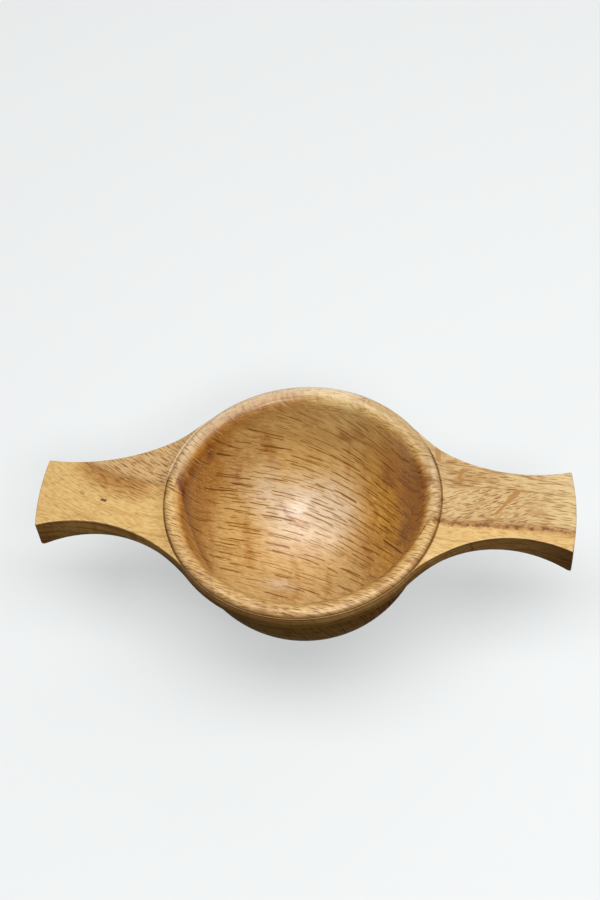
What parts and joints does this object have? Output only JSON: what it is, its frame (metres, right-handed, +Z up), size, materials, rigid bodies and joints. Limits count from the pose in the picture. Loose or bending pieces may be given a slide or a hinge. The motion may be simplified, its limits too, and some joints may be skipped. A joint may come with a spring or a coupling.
{
  "type": "quaich",
  "caption": "Round turned oak drinking bowl with a rolled rim, a low foot and flat sawn lugs that flare out from its shoulder as handles.",
  "frame": {"origin": "on the bowl's axis, at the level of the foot's standing ring", "axes": "+Z up along the bowl's axis, +X along the lugs towards the wider one, +Y away from the viewer of the picture"},
  "size_m": [0.2, 0.103, 0.061],
  "materials": {
    "oak": "satin oiled"
  },
  "bodies": {
    "root": {"foot": "oak", "bowl": "oak", "shoulder": "oak", "rim": "oak", "lug_left": "oak", "lug_right": "oak"}
  },
  "joints": []
}
